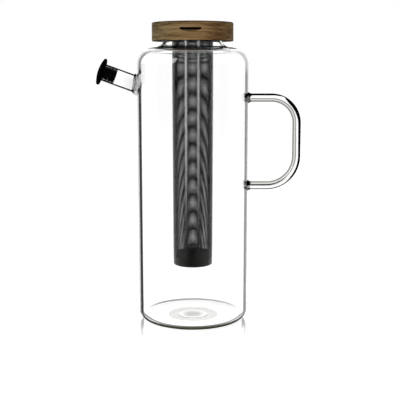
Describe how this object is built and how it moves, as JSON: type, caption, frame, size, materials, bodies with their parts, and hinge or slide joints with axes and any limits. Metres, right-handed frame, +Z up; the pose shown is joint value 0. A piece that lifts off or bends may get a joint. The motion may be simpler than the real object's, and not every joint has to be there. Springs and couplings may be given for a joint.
{
  "type": "fruit infuser pitcher",
  "caption": "Tall clear glass pitcher with a rod handle, a stoppered tube spout, a hanging perforated steel infuser and a wooden cap.",
  "frame": {"origin": "middle of the flat base, on the surface that the pitcher stands on", "axes": "+Z up along the axis of the glass body, +X towards the handle, -X towards the spout"},
  "size_m": [0.1952, 0.105, 0.2838],
  "materials": {
    "clear_glass": "clear, fire-polished",
    "oiled_wood": "oiled, fine horizontal grain",
    "stainless_steel": "satin stainless sheet, finely perforated on the sleeve",
    "black_silicone": "matte black silicone",
    "clear_silicone": "translucent silicone"
  },
  "bodies": {
    "glass": {"glass_body": "clear_glass", "spout_tube": "clear_glass", "handle": "clear_glass"},
    "infuser": {"infuser_collar": "stainless_steel", "infuser_sleeve": "stainless_steel", "infuser_cup": "stainless_steel"},
    "lid": {"lid_cap": "oiled_wood", "lid_gasket": "clear_silicone"},
    "stopper": {"spout_stopper": "black_silicone"}
  },
  "joints": [
    {"name": "infuser_lift", "type": "slide", "parent": "glass", "child": "infuser", "axis": [0, 0, 1], "range_m": [0, 0.235]},
    {"name": "lid_lift", "type": "slide", "parent": "infuser", "child": "lid", "axis": [0, 0, 1], "range_m": [0, 0.05]},
    {"name": "stopper_pull", "type": "slide", "parent": "glass", "child": "stopper", "axis": [-0.9397, 0, 0.342], "range_m": [0, 0.03]}
  ]
}
